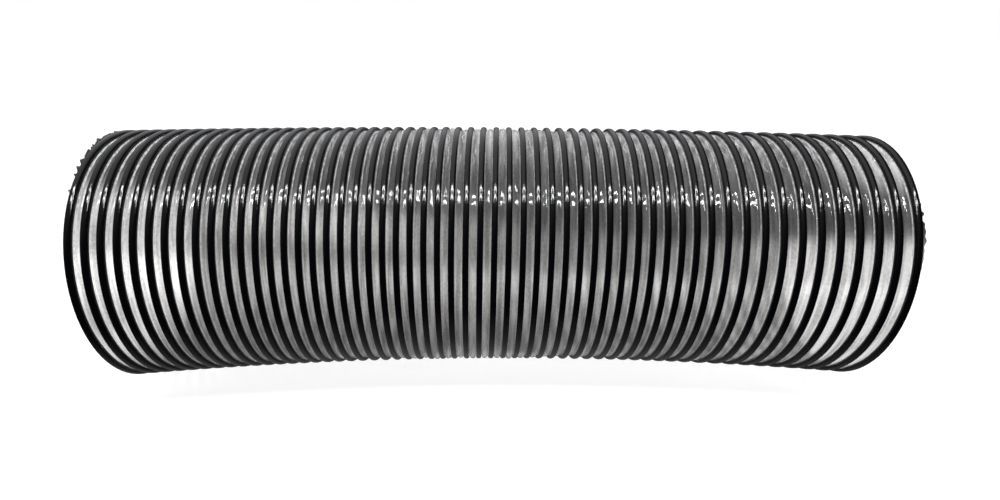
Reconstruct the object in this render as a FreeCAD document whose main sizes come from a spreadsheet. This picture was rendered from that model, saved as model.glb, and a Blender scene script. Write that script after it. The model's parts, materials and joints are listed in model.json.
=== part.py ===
"""Clear ribbed drain hose for a recreational vehicle, pushed together and lying in a slight bow.

The hose lies along X, its ends bent towards -Y, and rests on Z = 0. The origin is the bottom centre.
"""
import FreeCAD
import Part

import math
import os

# name, value, note; lengths in millimetres, angles in degrees
SIZES = [
    ("bore_radius", 38.1, "three-inch nominal bore"),
    ("film_wall", 0.4, "clear vinyl film"),
    ("cord_clearance", 0.5, "film to cord, so that each turn slides free"),
    ("cord_width", 2.2, "black coated spring wire, across its corners"),
    ("cord_sides", 6, "flat sides of the cord's section"),
    ("turn_sides", 22, "straight stretches in one turn"),
    ("wire_radius", 0.6, "steel wire in the cord's core"),
    ("wire_sides", 8, "flat sides of the wire's section"),
    ("wire_shown", 5.0, "length of wire made at each cut end"),
    ("cut_gap", 0.25, "gap where one turn ends and the next begins"),
    ("bow_radius", 925.0, "bend of the hose as it lies"),
    ("left_turns", 10, "turns at the left end"),
    ("left_pitch", 4.15, "their pitch"),
    ("tight_turns", 16, "the turns pushed closest"),
    ("tight_pitch", 4.0, "their pitch"),
    ("right_turns", 19, "turns right of the middle"),
    ("right_pitch", 4.26, "their pitch"),
    ("open_turns", 11, "slack turns at the right end"),
    ("open_pitch", 5.29, "their pitch"),
    ("bow_spans", 6, "ruled lengths of film between the cuffs"),
    ("cuff_length", 10.0, "straight bore at each end"),
    ("cuff_overhang", 1.2, "film past the last turn"),
    ("foot_share", 0.1, "share of the cord's width cut flat underneath"),
]

doc = FreeCAD.newDocument("sewer_hose")
sheet = doc.addObject("Spreadsheet::Sheet", "sizes")
for row, (name, value, note) in enumerate(SIZES, start=1):
    sheet.set("A%d" % row, name)
    sheet.set("B%d" % row, str(value))
    sheet.set("C%d" % row, note)
    sheet.setAlias("B%d" % row, name)
doc.recompute()


def size(name):
    """A driving dimension, read back from the sheet."""
    return float(sheet.get(name))


# Sizes that follow from the sheet

def pitches():
    """The pitch of every turn, from the left end to the right."""
    found = []
    for run in ("left", "tight", "right", "open"):
        found += [size(run + "_pitch")] * int(size(run + "_turns"))
    return found


PITCHES = pitches()
COIL_LENGTH = sum(PITCHES)
CORD_CORNER = size("cord_width") / 2
CORD_FLAT = CORD_CORNER * math.cos(math.pi / size("cord_sides"))
FILM_RADIUS = size("bore_radius") + size("film_wall")
CORD_RADIUS = FILM_RADIUS + size("cord_clearance") + CORD_FLAT
FOOT_CUT = size("foot_share") * size("cord_width")
AXIS_HEIGHT = CORD_RADIUS + CORD_FLAT - FOOT_CUT
FILM_LENGTH = COIL_LENGTH + 2 * size("cuff_overhang")
BOWED_LENGTH = FILM_LENGTH - 2 * size("cuff_length")


def axis_frame(station):
    """Point, direction and forward normal of the hose's axis, at a length along it from the middle."""
    bend = station / size("bow_radius")
    centre = FreeCAD.Vector(size("bow_radius") * math.sin(bend),
                            size("bow_radius") * (math.cos(bend) - 1),
                            AXIS_HEIGHT)
    along = FreeCAD.Vector(math.cos(bend), -math.sin(bend), 0)
    forward = FreeCAD.Vector(-math.sin(bend), -math.cos(bend), 0)
    return centre, along, forward


# Helix cord: black vinyl on spring wire, one node for each turn

def turn_angles():
    """Angles round the hose from the back, under it, past the front and over the top."""
    sides = int(size("turn_sides"))
    trim = size("cut_gap") / 2 / CORD_RADIUS
    inner = [-math.pi + 2 * math.pi * step / sides for step in range(1, sides)]
    return [trim - math.pi] + inner + [math.pi - trim]


def cord_centre(start, pitch, angle):
    """Centre of the cord at an angle in the turn that starts at a station on the axis."""
    station = start + pitch * (angle + math.pi) / (2 * math.pi)
    centre, along, forward = axis_frame(station)
    outward = forward * math.cos(angle) + FreeCAD.Vector(0, 0, math.sin(angle))
    reach = CORD_RADIUS / math.cos(math.pi / size("turn_sides"))
    return centre + outward * reach, outward, along


def cord_section(start, pitch, angle):
    """Six-sided section of the cord, with a flat side outwards."""
    centre, outward, along = cord_centre(start, pitch, angle)
    stretch = 1 / math.cos(math.pi / size("turn_sides"))
    corners = []
    for corner in range(int(size("cord_sides"))):
        turn = 2 * math.pi * (corner + 0.5) / size("cord_sides")
        radial = outward * (CORD_CORNER * stretch * math.cos(turn))
        corners.append(centre + radial + along * (CORD_CORNER * math.sin(turn)))
    return Part.makePolygon(corners + corners[:1])


def cord_turn(start, pitch):
    """One turn of the cord, cut flat where the hose stands on it."""
    sections = [cord_section(start, pitch, angle) for angle in turn_angles()]
    turn = Part.makeLoft(sections, True, True)
    reach = 2 * CORD_RADIUS
    middle = axis_frame(start + pitch / 2)[0]
    corner = FreeCAD.Vector(middle.x - reach / 2, middle.y - reach, -reach)
    return turn.cut(Part.makeBox(reach, 2 * reach, reach, corner))


def wire_bar(start, pitch, angle, inward_angle):
    """Bar down the middle of the cord, from just outside its cut end."""
    end, outward, along = cord_centre(start, pitch, angle)
    inner = cord_centre(start, pitch, inward_angle)[0]
    inward = (inner - end).normalize()
    spare = size("wire_radius")
    corners = []
    for corner in range(int(size("wire_sides"))):
        turn = 2 * math.pi * (corner + 0.5) / size("wire_sides")
        across = outward * math.cos(turn) + along * math.sin(turn)
        corners.append(end - inward * spare + across * size("wire_radius"))
    face = Part.Face(Part.makePolygon(corners + corners[:1]))
    return face.extrude(inward * (size("wire_shown") + spare))


def least_gap(starts):
    """Smallest gap between neighbouring turns, measured on points of their centre lines."""
    gaps = []
    for index in range(len(starts) - 1):
        for angle in turn_angles():
            here = cord_centre(starts[index], PITCHES[index], angle)[0]
            there = cord_centre(starts[index + 1], PITCHES[index + 1], angle)[0]
            gaps.append(here.distanceToPoint(there) - size("cord_width"))
    return min(gaps)


STARTS = [sum(PITCHES[:index]) - COIL_LENGTH / 2 for index in range(len(PITCHES))]
TURNS = [cord_turn(start, pitch) for start, pitch in zip(STARTS, PITCHES)]
print("least gap between turns: %.2f mm" % least_gap(STARTS))


# Steel wire, seen where the cord is cut at each end of the hose

ANGLES = turn_angles()
LEFT_BAR = wire_bar(STARTS[0], PITCHES[0], ANGLES[0], ANGLES[1])
RIGHT_BAR = wire_bar(STARTS[-1], PITCHES[-1], ANGLES[-1], ANGLES[-2])
LEFT_WIRE = LEFT_BAR.common(TURNS[0])
RIGHT_WIRE = RIGHT_BAR.common(TURNS[-1])
TURNS[0] = TURNS[0].cut(LEFT_BAR)
TURNS[-1] = TURNS[-1].cut(RIGHT_BAR)


def add_shape(name, shape):
    """A node of the document that holds a finished shape."""
    node = doc.addObject("Part::Feature", name)
    node.Shape = shape
    return node


nodes = [add_shape("cord_turn_%02d" % (index + 1), shape) for index, shape in enumerate(TURNS)]
nodes.append(add_shape("wire_core_left", LEFT_WIRE))
nodes.append(add_shape("wire_core_right", RIGHT_WIRE))


# Clear film sleeve: a bowed length between two short straight cuffs

def film_places():
    """Centre and direction of each circle of the film, from the left end to the right."""
    spans = int(size("bow_spans"))
    stations = [BOWED_LENGTH * (step / spans - 0.5) for step in range(spans + 1)]
    places = [axis_frame(station) for station in stations]
    cuff = size("cuff_length")
    first, along_first, forward_first = places[0]
    last, along_last, forward_last = places[-1]
    return ([(first - along_first * cuff, along_first, forward_first)] + places
            + [(last + along_last * cuff, along_last, forward_last)])


def hose_rod(name, radius):
    """Solid of a given radius along the whole film, ruled from circle to circle."""
    circles = []
    for index, (centre, along, forward) in enumerate(film_places()):
        circle = doc.addObject("Part::Circle", "%s_circle_%02d" % (name, index))
        circle.setExpression("Radius", radius)
        turn = FreeCAD.Rotation(forward, along.cross(forward), along, "ZXY")
        circle.Placement = FreeCAD.Placement(centre, turn)
        circles.append(circle)
    rod = doc.addObject("Part::Loft", name)
    rod.Sections = circles
    rod.Solid = True
    rod.Ruled = True
    return rod


film = doc.addObject("Part::Cut", "film_sleeve")
film.Base = hose_rod("film_outside", "sizes.bore_radius + sizes.film_wall")
film.Tool = hose_rod("film_bore", "sizes.bore_radius")
doc.recompute()
nodes.append(film)


# Origin at the bottom centre of the whole hose, then one file for each node

bounds = Part.makeCompound([node.Shape for node in nodes]).optimalBoundingBox(False)
shift = FreeCAD.Vector(-bounds.Center.x, -bounds.Center.y, -bounds.ZMin)
for node in nodes:
    node.Placement = FreeCAD.Placement(shift, FreeCAD.Rotation()).multiply(node.Placement)
doc.recompute()

os.makedirs("parts", exist_ok=True)
for node in nodes:
    node.Shape.exportStep("parts/%s.step" % node.Name)

for item in doc.Objects:
    if "Invalid" in item.State or "Error" in item.State:
        raise RuntimeError("%s is not up to date: %s" % (item.Name, item.State))
for node in nodes:
    if node.Shape.isNull() or not node.Shape.isValid():
        raise RuntimeError("%s has no valid shape" % node.Name)
print("%d nodes, hose %.1f mm long, axis %.3f mm behind the origin and %.3f mm up"
      % (len(nodes), bounds.XLength, shift.y, AXIS_HEIGHT + shift.z))
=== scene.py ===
"""Looks of a clear ribbed drain hose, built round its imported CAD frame."""

import json
import math

import bpy
import numpy as np
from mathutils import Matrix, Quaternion, Vector


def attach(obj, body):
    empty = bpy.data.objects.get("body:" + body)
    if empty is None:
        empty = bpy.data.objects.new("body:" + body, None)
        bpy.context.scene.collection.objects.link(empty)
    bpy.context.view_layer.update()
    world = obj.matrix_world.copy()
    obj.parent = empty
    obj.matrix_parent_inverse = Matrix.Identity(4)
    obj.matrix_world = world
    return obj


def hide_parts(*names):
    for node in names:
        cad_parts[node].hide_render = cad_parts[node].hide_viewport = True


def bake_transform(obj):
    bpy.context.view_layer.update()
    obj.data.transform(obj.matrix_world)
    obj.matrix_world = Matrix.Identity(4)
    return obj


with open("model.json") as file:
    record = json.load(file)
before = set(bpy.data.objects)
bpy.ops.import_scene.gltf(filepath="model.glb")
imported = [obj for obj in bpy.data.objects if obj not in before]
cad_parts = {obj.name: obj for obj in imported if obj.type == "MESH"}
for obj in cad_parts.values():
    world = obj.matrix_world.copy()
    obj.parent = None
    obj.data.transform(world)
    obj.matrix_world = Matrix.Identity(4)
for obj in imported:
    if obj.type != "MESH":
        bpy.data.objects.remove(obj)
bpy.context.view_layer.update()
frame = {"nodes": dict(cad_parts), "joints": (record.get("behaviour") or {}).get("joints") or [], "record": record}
scene = bpy.context.scene
rng = np.random.default_rng(11)
MM = 0.001


# The hose's axis: an arc in plan, its middle farthest back. The slides of the frame run along it
# where two turns meet, so their directions give the place of every turn.

BOW_RADIUS = 925 * MM
mounts = {mount["name"]: mount for mount in frame["record"]["mounts"]}
BORE_RADIUS = mounts["bore_left"]["dims"]["r_mm"] * MM
CUFF_LENGTH = mounts["bore_left"]["dims"]["length_mm"] * MM
AXIS_HEIGHT = mounts["bore_left"]["pos_m"][2]


def meeting_station(joint):
    """Length along the axis, from its middle, where a slide joins two turns."""
    along = Vector(joint["axis"])
    if along.x < 0:
        along = -along
    return BOW_RADIUS * math.asin(-along.y)


meetings = sorted(meeting_station(joint) for joint in frame["joints"])
first_pitch = meetings[1] - meetings[0]
last_pitch = meetings[-1] - meetings[-2]
STATIONS = np.array([meetings[0] - first_pitch] + meetings + [meetings[-1] + last_pitch])
TURNS = len(STATIONS) - 1

end_bend = math.asin(abs(mounts["bore_left"]["axis"][1]))
end_y = mounts["bore_left"]["pos_m"][1] + math.sin(end_bend) * CUFF_LENGTH / 2
MIDDLE_Y = end_y + BOW_RADIUS * (1 - math.cos(end_bend))


def station_at(turn):
    """Length along the axis for a count of turns from the left end; it may lie past either end."""
    inside = np.interp(turn, np.arange(TURNS + 1), STATIONS)
    before = np.minimum(turn, 0) * first_pitch
    after = np.maximum(turn - TURNS, 0) * last_pitch
    return inside + before + after


def pitch_at(turn):
    """Pitch of the helix at a count of turns."""
    index = np.clip(np.floor(turn).astype(int), 0, TURNS - 1)
    return STATIONS[index + 1] - STATIONS[index]


def on_hose(station, angle, radius):
    """Points at an angle and radius round the axis: 0 faces the camera, 90 degrees is the top."""
    bend = station / BOW_RADIUS
    reach = radius * np.cos(angle)
    x = BOW_RADIUS * np.sin(bend) - reach * np.sin(bend)
    y = BOW_RADIUS * (np.cos(bend) - 1) + MIDDLE_Y - reach * np.cos(bend)
    z = AXIS_HEIGHT + radius * np.sin(angle)
    return np.stack([x, y, z], axis=-1)


# Where the pieces are parted: under the hose, so that no seam faces up or forwards. A piece runs from
# the bottom of one turn to the bottom of the next.

PARTING = 0.25
HALF_TURN = 0.5


def follow(piece, left):
    """Ties a piece to the hose; left is the number of the turn at its left end, 0 for none."""
    if left == 0:
        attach(piece, "turn_01")
    elif left == TURNS:
        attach(piece, "turn_%02d" % TURNS)
    else:
        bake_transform(piece)


def new_object(name, mesh):
    """An object in the scene for a mesh."""
    obj = bpy.data.objects.new(name, mesh)
    scene.collection.objects.link(obj)
    return obj


# Helix cord: spring wire in an extruded bead of black vinyl, wound left-handed round the film and
# welded to it. The bead is nearly round with a flattened crown, and pressed flat where the hose lies.

CORD_WIDE = 1.98 * MM
CORD_HIGH = 1.9 * MM
CORD_SQUARE = 2.35
CORD_OUTSIDE = BORE_RADIUS + 2.8 * MM  # film, weld and bead
CORD_RADIUS = CORD_OUTSIDE - CORD_HIGH / 2
CORD_ROUND = 2 * math.pi * CORD_RADIUS
CORD_STEPS = 96
CORD_SIDES = 22
CUT_BACK = 0.175 * MM / CORD_ROUND  # in turns, from the end of the helix to the cut
FINE_STEP = 0.01


def built_mesh(name, points, faces, facing, material):
    """A smooth mesh with a given normal at each vertex."""
    mesh = bpy.data.meshes.new(name)
    mesh.from_pydata(points.tolist(), [], faces)
    mesh.materials.append(material)
    mesh.shade_smooth()
    mesh.normals_split_custom_set_from_vertices(facing.tolist())
    return mesh


def add_node(tree, kind, **values):
    """A node with its inputs by name, and its own settings by name after an underscore."""
    node = tree.nodes.new(kind)
    for key, value in values.items():
        if key.startswith("_"):
            setattr(node, key[1:], value)
        else:
            node.inputs[key.replace("_", " ")].default_value = value
    return node


def empty_material(name):
    """A material with only its output."""
    material = bpy.data.materials.new(name)
    material.use_nodes = True
    material.node_tree.nodes.clear()
    output = material.node_tree.nodes.new("ShaderNodeOutputMaterial")
    return material, material.node_tree, output


def cord_material():
    """Glossy black vinyl with the slight waviness of an extruded coat."""
    material, tree, output = empty_material("black_vinyl")
    shader = add_node(tree, "ShaderNodeBsdfPrincipled", Base_Color=(0.0015, 0.0015, 0.002, 1),
                      Roughness=0.11, IOR=1.5)
    wave = add_node(tree, "ShaderNodeTexNoise", Scale=700.0, Detail=2.0)
    bump = add_node(tree, "ShaderNodeBump", Strength=0.12, Distance=0.0002)
    place = add_node(tree, "ShaderNodeTexCoord")
    tree.links.new(place.outputs["Object"], wave.inputs["Vector"])
    tree.links.new(wave.outputs["Fac"], bump.inputs["Height"])
    tree.links.new(bump.outputs["Normal"], shader.inputs["Normal"])
    tree.links.new(shader.outputs["BSDF"], output.inputs["Surface"])
    return material


cord_vinyl = cord_material()


def squared(value, power):
    """A sine or cosine raised to a power, with its sign kept."""
    return np.sign(value) * np.abs(value) ** power


def cord_ring(turn):
    """Points round the bead at counts of turns, and the outward normal of each."""
    side = 2 * math.pi * (np.arange(CORD_SIDES) + 0.5) / CORD_SIDES + 0 * turn
    angle = 2 * math.pi * turn - math.pi
    station = station_at(turn)
    lean = squared(np.sin(side), 2 / CORD_SQUARE)
    stand = squared(np.cos(side), 2 / CORD_SQUARE)
    points = on_hose(station + CORD_WIDE / 2 * lean, angle, CORD_RADIUS + CORD_HIGH / 2 * stand)
    points[..., 2] = np.maximum(points[..., 2], 0)
    lean_step = squared(lean, CORD_SQUARE - 1) * CORD_HIGH * FINE_STEP
    stand_step = squared(stand, CORD_SQUARE - 1) * CORD_WIDE * FINE_STEP
    outside = on_hose(station + lean_step, angle, CORD_RADIUS + stand_step)
    facing = outside - on_hose(station, angle, CORD_RADIUS)
    return points, facing / np.linalg.norm(facing, axis=-1, keepdims=True)


def cord_piece(name, begin, end):
    """The bead from one count of turns to another, with a flat cap where the cord is cut."""
    begin = max(begin, CUT_BACK)
    end = min(end, TURNS - CUT_BACK)
    count = math.ceil((end - begin) * CORD_STEPS) + 1
    points, facing = cord_ring(np.linspace(begin, end, count)[:, None])
    points, facing = list(points), list(facing)
    faces = []
    for step in range(count - 1):
        low = step * CORD_SIDES
        for corner in range(CORD_SIDES):
            beside = (corner + 1) % CORD_SIDES
            faces.append((low + corner, low + beside, low + CORD_SIDES + beside, low + CORD_SIDES + corner))
    for cut, row, inner in ((CUT_BACK, 0, 1), (TURNS - CUT_BACK, count - 1, count - 2)):
        if cut in (begin, end):
            outward = points[row].mean(axis=0) - points[inner].mean(axis=0)
            corners = [len(points) * CORD_SIDES + corner for corner in range(CORD_SIDES)]
            faces.append(tuple(corners if row else corners[::-1]))
            points.append(points[row])
            facing.append(np.tile(outward / np.linalg.norm(outward), (CORD_SIDES, 1)))
    mesh = built_mesh(name, np.concatenate(points), faces, np.concatenate(facing), cord_vinyl)
    piece = new_object(name, mesh)
    return piece


def cord_front(number):
    """The half turn from the bottom over the front to the top, drawn half way to the next turn."""
    bottom = number - 1 + PARTING
    piece = cord_piece("cord_%02d_front" % number, bottom, bottom + HALF_TURN)
    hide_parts("cord_turn_%02d" % number)
    if number == TURNS:
        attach(piece, "turn_%02d" % TURNS)
    else:
        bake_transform(piece)


def cord_back(number):
    """The half turn from the top down the back, drawn the rest of the way to the next turn."""
    bottom = number + PARTING
    piece = cord_piece("cord_%02d_back" % number, bottom - HALF_TURN, bottom)
    if number in (0, TURNS):
        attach(piece, "turn_%02d" % max(number, 1))
    else:
        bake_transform(piece)


for number in range(1, TURNS + 1):
    cord_front(number)
for number in range(TURNS + 1):
    cord_back(number)


# Film sleeve: a strip of clear vinyl welded into a tube under the cord. It cradles the bead, sinks
# between the turns at the front and stands out behind, and is creased from lying pushed together.
# Its ends are cut roughly by hand just past the last turn, and flare where nothing holds them.

FILM_COLUMNS = 360
FILM_GAP = 0.04 * MM
CRADLE_WIDE = CORD_WIDE / 2 + FILM_GAP
CRADLE_HIGH = CORD_HIGH / 2 + FILM_GAP
CREST = 0.93 * CRADLE_WIDE  # where the film leaves the cord
LIP = 0.3 * MM
LIP_REACH = 0.11 * MM
BESIDE_CORD = np.concatenate([CREST * np.array([0, 0.5, 0.8, 0.93, 1]),
                              CREST + LIP_REACH * np.array([0.7, 1.5, 2.6, 4.2])])
ACROSS_STRIP = np.array([0.17, 0.34, 0.5, 0.66, 0.83])
SAME_PLACE = 0.01 * MM  # points closer than this are one

# The slack between two turns, deeper and fuller round the middle of the hose
SINK = 1.9 * MM
STAND_OUT = 1.0 * MM
MIDDLE_MORE = 1.0 * MM
MIDDLE_TURNS = 6
BELLY_SQUARE = 4  # higher is flatter in the middle of the strip
SLACK = 0.17 * MM
PUCKER = 0.03 * MM

# Creases that wander along the strip, and the weld line beside each cord, white partly as painted highlight
CREASE = 0.12 * MM
CREASE_WIDE = 0.26 * MM
CREASE_LINE = 0.36 * MM
CREASE_FAINT = 0.08 * MM  # narrower than this a crease doesn't show
CREASE_PLACES = (0.37, 0.52, 0.66)
CREASE_SHARE = 0.2  # the higher, the more of its length a crease is there
MEANDER = 0.13
SMOOTH_TURNS = 10  # turns at the left end that are less creased
SMOOTH_LEAST = 0.1
BOND_LINE = 0.2 * MM
BOND_PLACE = CREST + 0.08 * MM
BOND_WAVES = 37
BOND_WAVER = 0.3
LINE_RISE = 0.07 * MM
LINE_EDGE = 0.2
LINE_ROUND = 0.8 * MM

# The cut ends
OVERHANG = 1.25 * MM
JUMP = math.radians(35)  # angle over which a cut steps from one turn to the next
FLARE = 2.2 * MM
RAGGED = 0.16 * MM
TORN_RAGGED = 0.14 * MM
TORN_OUT = 0.8 * MM
TORN_WAVER = 0.18
TORN_PERIOD = 3
FLAP_OUT = 0.5 * MM

# Where round the hose each is strongest, and how far it reaches, in degrees up from the front
HOLLOW_ABOVE = (60, 44)
HOLLOW_BELOW = (60, 80)
# Creases and weld lines are strongest over the top, where their white is partly a painted highlight of the light
# from above
CREASED = (88, 26)
WHITE_BONDS_AND_HIGHLIGHT = (88, 36)
LEFT_FLARED = (74, 36)
LEFT_TORN = (80, 32)
RIGHT_FLARED = (34, 24)
RIGHT_FLAP = (34, 20)
FRONT_CREASES = 0.08
FRONT_BONDS = 0.3


def waves(slow, fast, count):
    """Smooth noise along a line, about -1 to 1: waves of random length and phase."""
    rates = rng.uniform(slow, fast, count)
    phases = rng.uniform(0, 2 * math.pi, count)

    def noise(place):
        total = np.zeros_like(place)
        for rate, phase in zip(rates, phases):
            total += np.sin(2 * math.pi * rate * place + phase)
        return total / math.sqrt(count)

    return noise


def patches(count, most_round, most_along):
    """Smooth noise over the hose that closes round it."""
    round_waves = rng.integers(-most_round, most_round + 1, count)
    along_waves = rng.uniform(0.05, most_along, count)
    phases = rng.uniform(0, 2 * math.pi, count)

    def noise(turn, angle):
        total = np.zeros_like(turn)
        for rounds, rate, phase in zip(round_waves, along_waves, phases):
            total += np.sin(rounds * angle + 2 * math.pi * rate * turn + phase)
        return total / math.sqrt(count)

    return noise


def crease_line(middle):
    """Noise for the place and for the height of one crease, and where across the strip it runs."""
    return waves(slow=14, fast=40, count=7), waves(slow=5, fast=24, count=7), middle


slack_noise = patches(count=14, most_round=7, most_along=0.6)
pucker_noise = patches(count=20, most_round=26, most_along=1.6)
crease_lines = [crease_line(middle) for middle in CREASE_PLACES]
left_cut_noise = waves(slow=20, fast=110, count=10)
right_cut_noise = waves(slow=20, fast=110, count=10)


def turn_share(angle):
    """Share of a turn as the cord is wound: from the back, under the hose, past the front and over."""
    return (angle + math.pi) / (2 * math.pi)


def strip_place(turn, angle):
    """Turns along the film's strip, and the share of its width from one cord to the next."""
    helix = turn - turn_share(angle)
    return np.floor(helix) + turn_share(angle), helix - np.floor(helix)


def facing_share(angle, middle, reach):
    """How near an angle is to a middle one, 1 there and 0 far from it."""
    around = np.mod(angle - math.radians(middle) + math.pi, 2 * math.pi) - math.pi
    return np.exp(-(around / math.radians(reach)) ** 2)


def crease_height(height, along, angle):
    """How sharp a crease is, 0 to 1: it comes and goes, sharpest over the top, and is slight at the left."""
    upper = FRONT_CREASES + (1 - FRONT_CREASES) * facing_share(angle, *CREASED)
    inward = np.clip((along - 1) / SMOOTH_TURNS, SMOOTH_LEAST, 1)
    return np.clip(CREASE_SHARE + height(along), 0, 1) * upper * inward


def creases(turn, angle):
    """Distance across the strip from each crease line, in metres, and the height of each, 0 to 1."""
    along, share = strip_place(turn, angle)
    across = [(share - middle - MEANDER * line(along)) * pitch_at(turn) for line, _, middle in crease_lines]
    rise = [crease_height(height, along, angle) for _, height, _ in crease_lines]
    return np.stack(across, axis=-1), np.stack(rise, axis=-1)


def hollow_share(angle):
    """How far the film is drawn in, 1 where it is deepest; it rises steeply over the top, slowly below."""
    above = np.sin(angle - math.radians(HOLLOW_ABOVE[0])) > 0
    return np.where(above, facing_share(angle, *HOLLOW_ABOVE), facing_share(angle, *HOLLOW_BELOW))


def depth(turn, angle):
    """How far the film hangs in between two turns; below 0 it stands out."""
    more = MIDDLE_MORE * np.exp(-((turn - TURNS / 2) / MIDDLE_TURNS) ** 4)
    hollow = (SINK + more) * hollow_share(angle)
    return hollow - (STAND_OUT + more) + SLACK * slack_noise(turn, angle)


def flare(turn, angle):
    """How far the loose film past the first and the last turn stands out."""
    helix = turn - turn_share(angle)
    past_left = np.maximum(-helix * first_pitch - CREST, 0) / OVERHANG
    past_right = np.maximum((helix + 1 - TURNS) * last_pitch - CREST, 0) / OVERHANG
    torn = 1 + TORN_WAVER * left_cut_noise((angle + math.pi) / TORN_PERIOD)
    left = past_left * facing_share(angle, *LEFT_FLARED) * torn
    return FLARE * (left + past_right * facing_share(angle, *RIGHT_FLARED))


def film_radius(turn, angle):
    """Radius of the film: a cradle under the cord, and a creased strip between two turns."""
    share = strip_place(turn, angle)[1]
    nearest = np.minimum(share, 1 - share) * pitch_at(turn)
    inside = np.minimum(nearest, CREST)
    cradle = CORD_RADIUS - CRADLE_HIGH * (1 - (inside / CRADLE_WIDE) ** CORD_SQUARE) ** (1 / CORD_SQUARE)
    beyond = np.maximum(nearest - CREST, 0)
    lip = LIP * (1 - np.exp(-beyond / LIP_REACH))
    across = np.clip(beyond / (pitch_at(turn) / 2 - CREST), 0, 1)
    belly = 1 - (1 - across) ** BELLY_SQUARE
    places, heights = creases(turn, angle)
    crease = CREASE * (heights * np.exp(-(places / CREASE_WIDE) ** 2)).sum(axis=-1)
    pucker = PUCKER * pucker_noise(turn, angle)
    return cradle - lip + (crease + pucker - depth(turn, angle)) * belly + flare(turn, angle)


def turn_of(station):
    """Count of turns at a length along the axis."""
    inside = np.interp(station, STATIONS, np.arange(TURNS + 1))
    before = np.minimum(station - STATIONS[0], 0) / first_pitch
    after = np.maximum(station - STATIONS[-1], 0) / last_pitch
    return inside + before + after


def film_point(station, angle):
    """Points of the film's surface, none lower than the table."""
    points = on_hose(station, angle, film_radius(turn_of(station), angle))
    points[..., 2] = np.maximum(points[..., 2], 0)
    return points


def left_cut(angle):
    """Stations of the left cut edge, which follows the first turn and steps back to its start."""
    share = turn_share(angle)
    step = np.clip((math.pi - angle) / JUMP, 0, 1)
    torn = facing_share(angle, *LEFT_TORN)
    ragged = (RAGGED + TORN_RAGGED * torn) * left_cut_noise(share) * np.sin(share * math.pi)
    return STATIONS[0] + first_pitch * share * step - OVERHANG - ragged - TORN_OUT * torn


def right_cut(angle):
    """Stations of the right cut edge, which follows the last turn from past its end."""
    share = turn_share(angle)
    step = np.clip((angle + math.pi) / JUMP, 0, 1)
    ragged = RAGGED * right_cut_noise(share) * np.sin(share * math.pi)
    flap = FLAP_OUT * facing_share(angle, *RIGHT_FLAP)
    return STATIONS[-1] - last_pitch * (1 - share) * step + OVERHANG + ragged + flap


def strip_rows(first, last, angle):
    """Stations of lines that run along the film's strip, from one cord to another."""
    rows = []
    for number in range(first, last):
        here = station_at(number + turn_share(angle))
        there = station_at(number + 1 + turn_share(angle))
        open_from = here + BESIDE_CORD[-1]
        open_to = there - BESIDE_CORD[-1]
        rows += [here + reach for reach in BESIDE_CORD]
        rows += [open_from + (open_to - open_from) * share for share in ACROSS_STRIP]
        rows += [there - reach for reach in BESIDE_CORD[:0:-1]]
    return np.array(rows)


def joined(station, column):
    """One vertex for each place on the film, and the faces between rows and columns that have an area."""
    rows, columns = station.shape
    place = np.round(station / SAME_PLACE).astype(np.int64) * FILM_COLUMNS + column % FILM_COLUMNS
    _, keep, vertex = np.unique(place.reshape(-1), return_index=True, return_inverse=True)
    corner = (np.arange(rows - 1)[:, None] * columns + np.arange(columns - 1)).reshape(-1)
    grid = np.stack([corner, corner + columns, corner + columns + 1, corner + 1], axis=1)
    faces = []
    for face in vertex.reshape(-1)[grid].tolist():
        corners = [number for index, number in enumerate(face) if number != face[index - 1]]
        if len(set(corners)) == len(corners) > 2:
            faces.append(corners)
    return keep, faces


def crease_ribbon(line, height, middle):
    """Where one crease line runs, as a share of the strip's width, and how wide it is."""

    def place(along, angle):
        return middle + MEANDER * line(along)

    def width(along, angle):
        return CREASE_LINE * crease_height(height, along, angle) - CREASE_FAINT

    return place, width


def bond_ribbon(side):
    """The weld line just beside the cord, on the strip's left (0) or right (1); its white is partly a painted
    highlight.
    """

    def place(along, angle):
        share = BOND_PLACE / pitch_at(along)
        return 1 - share if side else share

    def width(along, angle):
        upper = FRONT_BONDS + (1 - FRONT_BONDS) * facing_share(angle, *WHITE_BONDS_AND_HIGHLIGHT)
        return BOND_LINE * upper * (1 + BOND_WAVER * np.sin(2 * math.pi * BOND_WAVES * along + side))

    return place, width


ribbons = [crease_ribbon(*crease) for crease in crease_lines] + [bond_ribbon(0), bond_ribbon(1)]


def raised_line(place, width, number, angle, low, high):
    """Points, faces and normals of one line in one turn of the strip, where it lies between two stations."""
    along = number + turn_share(angle)
    centre = station_at(number + place(along, angle) + turn_share(angle))
    wide = width(along, angle)
    shown = (centre >= low) & (centre < high) & (wide > 0)
    steps = np.flatnonzero(shown[:-1] | shown[1:])
    steps = steps[(wide[steps] > 0) | (wide[steps + 1] > 0)]
    wide = np.maximum(wide, 0)
    points, normals = [], []
    for lean, lift in ((-1, LINE_EDGE), (0, 1), (1, LINE_EDGE)):
        station = centre + wide / 2 * lean
        radius = film_radius(turn_of(station), angle) + LINE_RISE * lift
        here = on_hose(station, angle, radius)
        points.append(here)
        normals.append(on_hose(station + LINE_ROUND * lean, angle, radius + MM) - here)
    columns = len(angle)
    faces = []
    for lane in (0, columns):
        corner = lane + steps
        faces.append(np.stack([corner, corner + columns, corner + columns + 1, corner + 1], axis=1))
    faces = np.concatenate(faces)
    used, vertex = np.unique(faces.reshape(-1), return_inverse=True)
    normals = np.concatenate(normals)[used]
    normals /= np.linalg.norm(normals, axis=1, keepdims=True)
    return np.concatenate(points)[used], vertex.reshape(-1, 4), normals


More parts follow.
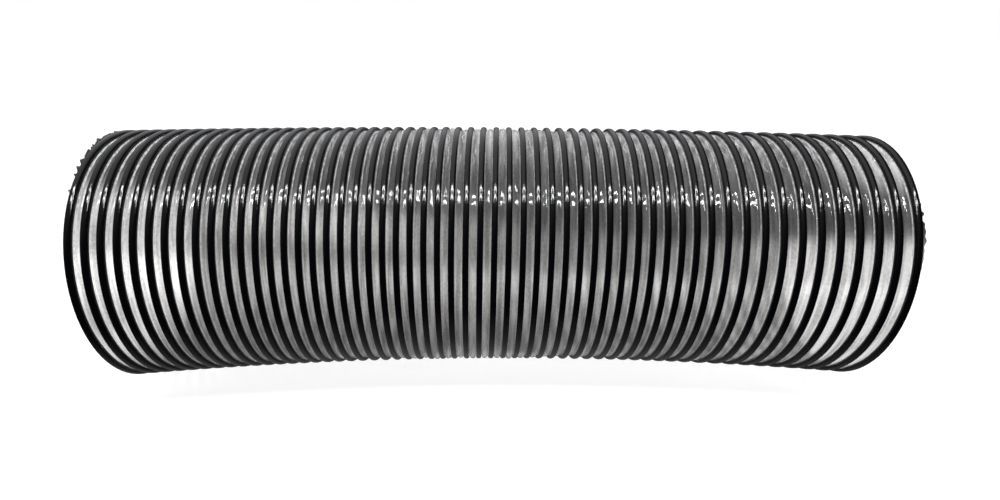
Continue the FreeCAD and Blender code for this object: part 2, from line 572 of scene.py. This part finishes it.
def ramp(tree, source, low, high, bottom=0.0, top=1.0):
    """A smooth step of a value: bottom at low, top at high."""
    node = add_node(tree, "ShaderNodeMapRange", _interpolation_type="SMOOTHSTEP")
    node.inputs["From Min"].default_value = low
    node.inputs["From Max"].default_value = high
    node.inputs["To Min"].default_value = bottom
    node.inputs["To Max"].default_value = top
    tree.links.new(source, node.inputs["Value"])
    return node.outputs["Result"]


def combine(tree, operation, one, other=0.0):
    """A sum, product or the like of two values, each a socket or a number."""
    node = add_node(tree, "ShaderNodeMath", _operation=operation)
    for index, value in enumerate((one, other)):
        if isinstance(value, float):
            node.inputs[index].default_value = value
        else:
            tree.links.new(value, node.inputs[index])
    return node.outputs["Value"]


def vectors(tree, operation, one, other=(0.0, 0.0, 0.0)):
    """A vector operation on two vectors, each a socket or a tuple."""
    node = add_node(tree, "ShaderNodeVectorMath", _operation=operation)
    for index, value in enumerate((one, other)):
        if isinstance(value, tuple):
            node.inputs[index].default_value = value
        else:
            tree.links.new(value, node.inputs[index])
    return node.outputs["Value" if operation == "DOT_PRODUCT" else "Vector"]


def strip_noise(tree, strip, scale, detail, distortion):
    """Noise over the film's strip, with its own scale along and across."""
    place = add_node(tree, "ShaderNodeMapping", Scale=scale)
    noise = add_node(tree, "ShaderNodeTexNoise", Scale=1.0, Detail=detail, Distortion=distortion)
    tree.links.new(strip, place.inputs["Vector"])
    tree.links.new(place.outputs["Vector"], noise.inputs["Vector"])
    return noise.outputs["Fac"]


# The film's haze. Its strip is measured in millimetres: along it, across it, and out from the cord.
CREASE_FADE = (4.0, 4.0, 4.0)
CREASE_WAVER = (0.3, 0.6, 0.4, 1.2)
# White at the creases and beside the cord: partly real whitening, partly painted highlight
CREASE_WHITE_AND_HIGHLIGHT = 0.6
BOND_WHITE_AND_HIGHLIGHT = (0.24, 0.06)  # millimetres from the cord: clear, and white
STREAK_RANGE = (0.38, 0.62)
GRAIN_RANGE = (0.36, 0.64)
STREAK_CLEAR = 0.46
GRAIN_CLEAR = 0.16
LEAST_CLEAR = 0.22
CUT_EDGE = 2.0  # past a cut end, in millimetres along the strip
CUT_CLEAR = 0.08
CREASE_BUMP = 0.1
STREAK_BUMP = 0.014
GRAIN_BUMP = 0.035


def crease_marks(tree, strip):
    """How near the film is to a crease line, times how sharp that crease is."""
    place = add_node(tree, "ShaderNodeAttribute", _attribute_name="crease_place").outputs["Vector"]
    rise = add_node(tree, "ShaderNodeAttribute", _attribute_name="crease_rise").outputs["Vector"]
    off_line = vectors(tree, "MULTIPLY", vectors(tree, "ABSOLUTE", place), CREASE_FADE)
    near_line = vectors(tree, "MAXIMUM", vectors(tree, "SUBTRACT", (1.0, 1.0, 1.0), off_line))
    waver = strip_noise(tree, strip, scale=(0.9, 0.9, 0.0), detail=2.0, distortion=0.0)
    return combine(tree, "MULTIPLY", vectors(tree, "DOT_PRODUCT", near_line, rise),
                   ramp(tree, waver, *CREASE_WAVER))


def film_clearness(tree, along, streaks, grain):
    """How clear the film is, 0 to 1: less in its streaks and grain, least at its cut ends."""
    last_strip = CORD_ROUND / MM * (TURNS - 1)
    cut_edges = combine(tree, "MULTIPLY", ramp(tree, along, -CUT_EDGE, 0.0, CUT_CLEAR, 1.0),
                        ramp(tree, along, last_strip, last_strip + CUT_EDGE, 1.0, CUT_CLEAR))
    mottle = combine(tree, "ADD", combine(tree, "MULTIPLY", streaks, STREAK_CLEAR),
                     combine(tree, "MULTIPLY", grain, GRAIN_CLEAR))
    return combine(tree, "MULTIPLY", combine(tree, "ADD", mottle, LEAST_CLEAR), cut_edges)


def film_material():
    """Clear vinyl, hazy, streaked and crumpled: it dims what is behind it and is whitened at its creases and
    beside each cord, partly as painted highlight.
    """
    material, tree, output = empty_material("clear_vinyl")
    strip = add_node(tree, "ShaderNodeAttribute", _attribute_name="strip").outputs["Vector"]
    parts = add_node(tree, "ShaderNodeSeparateXYZ")
    tree.links.new(strip, parts.inputs["Vector"])
    crease = crease_marks(tree, strip)
    streaks = ramp(tree, strip_noise(tree, strip, scale=(0.055, 0.75, 0.0), detail=3.0, distortion=0.6),
                   *STREAK_RANGE)
    grain = ramp(tree, strip_noise(tree, strip, scale=(1.15, 1.15, 0.0), detail=3.0, distortion=0.0),
                 *GRAIN_RANGE)
    tint = add_node(tree, "ShaderNodeMix", _data_type="RGBA")
    tint.inputs["A"].default_value = (0.08, 0.068, 0.055, 1)
    tint.inputs["B"].default_value = (1, 1, 1, 1)
    tree.links.new(film_clearness(tree, parts.outputs["X"], streaks, grain), tint.inputs["Factor"])
    bond_and_highlight = ramp(tree, parts.outputs["Z"], *BOND_WHITE_AND_HIGHLIGHT)
    # whitening at the creases and welds, partly painted highlight
    white = combine(tree, "MAXIMUM", combine(tree, "MULTIPLY", crease, CREASE_WHITE_AND_HIGHLIGHT), bond_and_highlight)
    whitened = add_node(tree, "ShaderNodeMix", _data_type="RGBA")
    whitened.inputs["B"].default_value = (1, 1, 1, 1)
    tree.links.new(combine(tree, "MINIMUM", white, 1.0), whitened.inputs["Factor"])
    tree.links.new(tint.outputs["Result"], whitened.inputs["A"])
    folds = combine(tree, "ADD", combine(tree, "MULTIPLY", crease, CREASE_BUMP),
                    combine(tree, "MULTIPLY", streaks, STREAK_BUMP))
    rough = combine(tree, "ADD", folds, combine(tree, "MULTIPLY", grain, GRAIN_BUMP))
    fold_bump = add_node(tree, "ShaderNodeBump", Strength=1.0, Distance=0.001)
    rough_bump = add_node(tree, "ShaderNodeBump", Strength=1.0, Distance=0.001)
    shader = add_node(tree, "ShaderNodeBsdfPrincipled", Roughness=0.9, IOR=1.03, Transmission_Weight=0.98,
                      Coat_Weight=1.0, Coat_Roughness=0.03, Coat_IOR=1.5)
    clear = add_node(tree, "ShaderNodeBsdfTransparent", Color=(0.7, 0.7, 0.71, 1))
    rays = tree.nodes.new("ShaderNodeLightPath")
    whole = tree.nodes.new("ShaderNodeMixShader")
    tree.links.new(folds, fold_bump.inputs["Height"])
    tree.links.new(rough, rough_bump.inputs["Height"])
    tree.links.new(whitened.outputs["Result"], shader.inputs["Base Color"])
    tree.links.new(rough_bump.outputs["Normal"], shader.inputs["Normal"])
    tree.links.new(fold_bump.outputs["Normal"], shader.inputs["Coat Normal"])
    tree.links.new(rays.outputs["Is Shadow Ray"], whole.inputs["Fac"])
    tree.links.new(shader.outputs["BSDF"], whole.inputs[1])
    tree.links.new(clear.outputs["BSDF"], whole.inputs[2])
    tree.links.new(whole.outputs["Shader"], output.inputs["Surface"])
    return material


clear_vinyl = film_material()


def milky_and_highlit_material():
    """Vinyl gone milky where it is folded sharply or welded, with a painted highlight on the creases and weld
    lines.
    """
    material, tree, output = empty_material("milky_and_highlit_vinyl")
    place = add_node(tree, "ShaderNodeTexCoord")
    patchy = add_node(tree, "ShaderNodeTexNoise", Scale=900.0, Detail=1.0)
    shade = add_node(tree, "ShaderNodeMix", _data_type="RGBA")
    shade.inputs["A"].default_value = (0.5, 0.5, 0.51, 1)
    shade.inputs["B"].default_value = (0.95, 0.95, 0.96, 1)
    shader = add_node(tree, "ShaderNodeBsdfPrincipled", Roughness=0.4, IOR=1.3, Transmission_Weight=0.3)
    tree.links.new(place.outputs["Object"], patchy.inputs["Vector"])
    tree.links.new(ramp(tree, patchy.outputs["Fac"], 0.35, 0.65), shade.inputs["Factor"])
    tree.links.new(shade.outputs["Result"], shader.inputs["Base Color"])
    tree.links.new(shader.outputs["BSDF"], output.inputs["Surface"])
    return material


milky_and_highlit_vinyl = milky_and_highlit_material()


def film_surface(left, angle):
    """Stations, angles and faces of the film round one pitch, between its two edges, and those edges."""
    column = np.arange(len(angle))
    low = left_cut(angle) if left == 0 else station_at(left - 1 + PARTING)
    high = right_cut(angle) if left == TURNS else station_at(left + PARTING)
    station = np.clip(strip_rows(left - 2, left + 1, angle), low, high)
    keep, faces = joined(station, column)
    return station.reshape(-1)[keep], (angle + 0 * station).reshape(-1)[keep], faces, low, high


def film_facing(station, angle):
    """The outward normal at each point of the film."""
    points = film_point(station, angle)
    along = film_point(station + 0.02 * MM, angle) - points
    around = film_point(station, angle + 0.002) - points
    facing = np.cross(along, around)
    return facing / np.linalg.norm(facing, axis=1, keepdims=True)


def vertex_values(mesh, name, values):
    """A vector stored at each vertex of a mesh, for its material, and zeros for the lines that follow."""
    spare = np.zeros((len(mesh.vertices) - len(values), 3))
    values = np.concatenate([values, spare])
    mesh.attributes.new(name, "FLOAT_VECTOR", "POINT").data.foreach_set("vector", values.reshape(-1))


def film_piece(left):
    """The film round one pitch of the hose, from the bottom of one turn to the bottom of the next."""
    round_angle = 2 * math.pi * np.arange(FILM_COLUMNS + 1) / FILM_COLUMNS - math.pi
    station, angle, faces, low, high = film_surface(left, round_angle)
    points, facing, all_faces = [film_point(station, angle)], [film_facing(station, angle)], list(faces)
    count = len(station)
    for number in range(max(left - 2, 0), min(left + 1, TURNS - 1)):
        for place, width in ribbons:
            line_points, line_faces, line_facing = raised_line(place, width, number, round_angle, low, high)
            all_faces += (line_faces + count).tolist()
            count += len(line_points)
            points.append(line_points)
            facing.append(line_facing)
    name = "film_%02d" % left
    mesh = built_mesh(name, np.concatenate(points), all_faces, np.concatenate(facing), clear_vinyl)
    mesh.materials.append(milky_and_highlit_vinyl)
    lines = np.arange(len(all_faces)) >= len(faces)
    mesh.polygons.foreach_set("material_index", lines.astype(np.int32))
    turn = turn_of(station)
    strips, share = strip_place(turn, angle)
    beside = np.minimum(share, 1 - share) * pitch_at(turn) - CREST
    across, rise = creases(turn, angle)
    strip = np.stack([CORD_ROUND * strips, share * pitch_at(turn), beside], axis=-1)
    vertex_values(mesh, "strip", strip / MM)
    vertex_values(mesh, "crease_place", across / MM)
    vertex_values(mesh, "crease_rise", rise)
    piece = new_object(name, mesh)
    follow(piece, left)
    return piece


films = [film_piece(left) for left in range(TURNS + 1)]
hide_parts("film_sleeve")


# Steel wire: the spring that the cord's vinyl is extruded round, seen as a bright dot in each cut
# end of the cord. The frame's own two pieces stay.

def steel_material():
    """Freshly cut spring steel."""
    material, tree, output = empty_material("cut_steel")
    shader = add_node(tree, "ShaderNodeBsdfPrincipled", Base_Color=(0.55, 0.55, 0.56, 1), Metallic=1.0,
                      Roughness=0.3)
    tree.links.new(shader.outputs["BSDF"], output.inputs["Surface"])
    return material


cut_steel = steel_material()
for side in ("left", "right"):
    wire = frame["nodes"]["wire_core_" + side]
    wire.data.materials.clear()
    wire.data.materials.append(cut_steel)


# Floor: a white table top that keeps a faint shadow. Seen through the film it carries a painted shadow
# of the hose under and behind it and a painted pool of light behind it, is bright past its ends,
# and ends in a dark room with pale walls.

FLOOR_HALF = 12.0
DARK_ROOM = 0.04
TABLE_EDGE = 0.113
EDGE_SOFT = 0.008
TABLE_SKEW = 0.22
SKEW_END = 0.1
FOOT_BACK = 0.012
SHADE_SKEW = 0.08
RIGHT_SKEW = 0.3

# Each runs from one place to another, in metres, and from one brightness to another
# Painted shadow of the hose: under it, and on the table behind it
SHADOW_UNDER_HOSE = (0.008, 0.07, 0.3, 1.45)
SHADOW_BEHIND_HOSE = (0.05, 0.066, 1.0, 0.36)
PAST_LEFT = (-0.15, -0.115, 1.0, 0.0)
FAR_LEFT = (-0.16, -0.13, 0.7, 1.0)
PAST_RIGHT = (0.08, 0.096, 0.0, 0.8)
# A painted pool of light on the table behind the hose
PAINTED_GLEAM_FRONT = (0.055, 0.085, 0.0, 1.0)
PAINTED_GLEAM_ACROSS = (-0.15, 0.04, 1.6, 0.0)
PAINTED_GLEAM_LEFT = (-0.19, -0.15, 0.0, 1.0)
WALL_BEHIND = (0.2, 0.31, 0.0, 0.85)
WALL_LEFT = (-0.15, 0.0, 0.12, 1.0)
SIDE_WALL_BEHIND = (0.16, 0.2, 0.0, 1.0)
SIDE_WALL_ACROSS = (0.24, 0.3, 0.0, 0.8)


def seen_through_film(tree, across, behind):
    """How bright the room is at a place on the floor, for light that comes through the film, with the hose's
    shadow and a pool of light painted in.
    """
    def faded(source, source_range, other, other_range):
        return combine(tree, "MULTIPLY", ramp(tree, source, *source_range), ramp(tree, other, *other_range))

    def skewed(amount):
        return combine(tree, "MULTIPLY", across, amount)

    off_foot = combine(tree, "ABSOLUTE", combine(tree, "ADD", behind, FOOT_BACK))
    # painted shadow of the hose, under it and behind it
    painted_shadow = faded(off_foot, SHADOW_UNDER_HOSE, combine(tree, "ADD", behind, skewed(SHADE_SKEW)), SHADOW_BEHIND_HOSE)
    past_left = faded(across, PAST_LEFT, across, FAR_LEFT)
    aside = combine(tree, "SUBTRACT", across, combine(tree, "MULTIPLY", behind, RIGHT_SKEW))
    past_ends = combine(tree, "ADD", past_left, ramp(tree, aside, *PAST_RIGHT))
    edge_skew = combine(tree, "MULTIPLY", combine(tree, "MINIMUM", across, SKEW_END), TABLE_SKEW)
    slanted = combine(tree, "ADD", behind, edge_skew)
    # a painted pool of light behind the hose
    painted_gleam = faded(slanted, PAINTED_GLEAM_FRONT, across, PAINTED_GLEAM_ACROSS)
    painted_gleam = combine(tree, "MULTIPLY", painted_gleam, ramp(tree, across, *PAINTED_GLEAM_LEFT))
    top = combine(tree, "ADD", combine(tree, "MAXIMUM", painted_shadow, past_ends), painted_gleam)
    table = ramp(tree, slanted, TABLE_EDGE - EDGE_SOFT, TABLE_EDGE + EDGE_SOFT, 1.0, 0.0)
    wall = combine(tree, "MAXIMUM", faded(behind, WALL_BEHIND, across, WALL_LEFT),
                   faded(behind, SIDE_WALL_BEHIND, across, SIDE_WALL_ACROSS))
    room = combine(tree, "ADD", combine(tree, "MULTIPLY", top, table), wall)
    return combine(tree, "ADD", room, DARK_ROOM)


def floor_material():
    """White, mostly lit by itself for the camera so that the picture's ground stays white."""
    material, tree, output = empty_material("white_floor")
    glow = add_node(tree, "ShaderNodeEmission", Color=(1, 1, 1, 1), Strength=0.88)
    matt = add_node(tree, "ShaderNodeBsdfDiffuse", Color=(0.35, 0.35, 0.35, 1))
    both = tree.nodes.new("ShaderNodeAddShader")
    through = add_node(tree, "ShaderNodeEmission", Color=(1, 0.99, 0.985, 1))
    place = tree.nodes.new("ShaderNodeTexCoord")
    split = tree.nodes.new("ShaderNodeSeparateXYZ")
    rays = tree.nodes.new("ShaderNodeLightPath")
    choose = tree.nodes.new("ShaderNodeMixShader")
    tree.links.new(place.outputs["Object"], split.inputs["Vector"])
    room = seen_through_film(tree, split.outputs["X"], split.outputs["Y"])
    tree.links.new(room, through.inputs["Strength"])
    tree.links.new(glow.outputs["Emission"], both.inputs[0])
    tree.links.new(matt.outputs["BSDF"], both.inputs[1])
    tree.links.new(rays.outputs["Is Transmission Ray"], choose.inputs["Fac"])
    tree.links.new(both.outputs["Shader"], choose.inputs[1])
    tree.links.new(through.outputs["Emission"], choose.inputs[2])
    tree.links.new(choose.outputs["Shader"], output.inputs["Surface"])
    return material


def floor_plane():
    """A floor that runs past the horizon of the picture."""
    half = FLOOR_HALF
    mesh = bpy.data.meshes.new("floor")
    corners = [(-half, -half, 0), (half, -half, 0), (half, half, 0), (-half, half, 0)]
    mesh.from_pydata(corners, [], [(0, 1, 2, 3)])
    mesh.materials.append(floor_material())
    floor = new_object("floor", mesh)
    floor.visible_glossy = False
    return floor


floor_plane()


# Light: two long lamps close together, above and in front, and a studio that is pale overhead
# and behind, dark towards the camera and grey underneath

LAMP_LONG = 0.9
LAMP_WIDE = 0.035
LAMP_AWAY = 0.8
LAMP_POWER = 3.8


def lamp(name, elevation):
    """A long lamp along the hose, at an elevation seen from its front."""
    data = bpy.data.lights.new(name, "AREA")
    data.shape = "RECTANGLE"
    data.size = LAMP_LONG
    data.size_y = LAMP_WIDE
    data.energy = LAMP_POWER
    obj = bpy.data.objects.new(name, data)
    turn = math.radians(elevation)
    obj.location = (0, -LAMP_AWAY * math.cos(turn), AXIS_HEIGHT + LAMP_AWAY * math.sin(turn))
    aim = Vector((0, 0, AXIS_HEIGHT)) - obj.location
    obj.rotation_euler = aim.to_track_quat("-Z", "X").to_euler()
    obj.rotation_euler.rotate_axis("Z", math.radians(90))
    scene.collection.objects.link(obj)


lamp("lamp_high", 77)
lamp("lamp_low", 69)

# The studio's pattern: each part is faded from one direction to another, from a brightness to another
STUDIO_LEVEL = 0.8
STUDIO_FADES = (("Y", (-0.95, -0.4, 0.0, 1.0)),
                ("Y", (-0.25, 0.05, 0.25, 1.0)),
                ("Z", (-0.15, 0.4, 0.12, 1.0)),
                ("X", (0.2, 0.55, 1.0, 0.08)),
                ("X", (-1.0, -0.6, 0.2, 1.0)))
STUDIO_BENEATH = (-0.97, -0.6, 0.13, 0.0)


def studio_world():
    """White where seen directly, dark where seen through the film; a studio pattern where mirrored."""
    world = bpy.data.worlds.new("studio")
    world.use_nodes = True
    tree = world.node_tree
    tree.nodes.clear()
    output = tree.nodes.new("ShaderNodeOutputWorld")
    seen = add_node(tree, "ShaderNodeBackground", Color=(1, 1, 1, 1), Strength=1.0)
    through = add_node(tree, "ShaderNodeBackground", Color=(1, 1, 1, 1), Strength=DARK_ROOM)
    mirrored = add_node(tree, "ShaderNodeBackground", Color=(0.96, 0.97, 1, 1))
    place = tree.nodes.new("ShaderNodeTexCoord")
    split = tree.nodes.new("ShaderNodeSeparateXYZ")
    tree.links.new(place.outputs["Generated"], split.inputs["Vector"])
    overhead = STUDIO_LEVEL
    for axis, fade in STUDIO_FADES:
        overhead = combine(tree, "MULTIPLY", overhead, ramp(tree, split.outputs[axis], *fade))
    beneath = ramp(tree, split.outputs["Z"], *STUDIO_BENEATH)
    tree.links.new(combine(tree, "ADD", overhead, beneath), mirrored.inputs["Strength"])
    rays = tree.nodes.new("ShaderNodeLightPath")
    choose_through = tree.nodes.new("ShaderNodeMixShader")
    choose_seen = tree.nodes.new("ShaderNodeMixShader")
    tree.links.new(rays.outputs["Is Transmission Ray"], choose_through.inputs["Fac"])
    tree.links.new(mirrored.outputs["Background"], choose_through.inputs[1])
    tree.links.new(through.outputs["Background"], choose_through.inputs[2])
    tree.links.new(rays.outputs["Is Camera Ray"], choose_seen.inputs["Fac"])
    tree.links.new(choose_through.outputs["Shader"], choose_seen.inputs[1])
    tree.links.new(seen.outputs["Background"], choose_seen.inputs[2])
    tree.links.new(choose_seen.outputs["Shader"], output.inputs["Surface"])
    scene.world = world


studio_world()


# Camera: close and wide, looking a little down on the middle of the hose

CAMERA_DISTANCE = 185.0 * MM
CAMERA_ELEVATION = 26.75
CAMERA_AZIMUTH = -1.35
CAMERA_ROLL = 0.747
CAMERA_AIM = Vector((0.9 * MM, MIDDLE_Y, AXIS_HEIGHT - 2.8 * MM))
camera_data = bpy.data.cameras.new("camera")
camera_data.sensor_width = 36.0
camera_data.lens = 18.24
camera_data.clip_start = 0.01
camera_data.clip_end = 100.0
camera = bpy.data.objects.new("camera", camera_data)
rise = math.radians(CAMERA_ELEVATION)
swing = math.radians(CAMERA_AZIMUTH)
away = Vector((math.sin(swing) * math.cos(rise), -math.cos(swing) * math.cos(rise), math.sin(rise)))
camera.location = CAMERA_AIM + away * CAMERA_DISTANCE
level = away.to_track_quat("Z", "Y")
camera.rotation_euler = (level @ Quaternion((0, 0, 1), math.radians(CAMERA_ROLL))).to_euler()
scene.collection.objects.link(camera)
scene.camera = camera


# Picture: plain colours, and enough bounces for light to pass through many layers of film

scene.view_settings.view_transform = "Standard"
scene.cycles.max_bounces = 16
scene.cycles.transmission_bounces = 12
scene.cycles.transparent_max_bounces = 24
scene.cycles.glossy_bounces = 4
scene.cycles.diffuse_bounces = 3
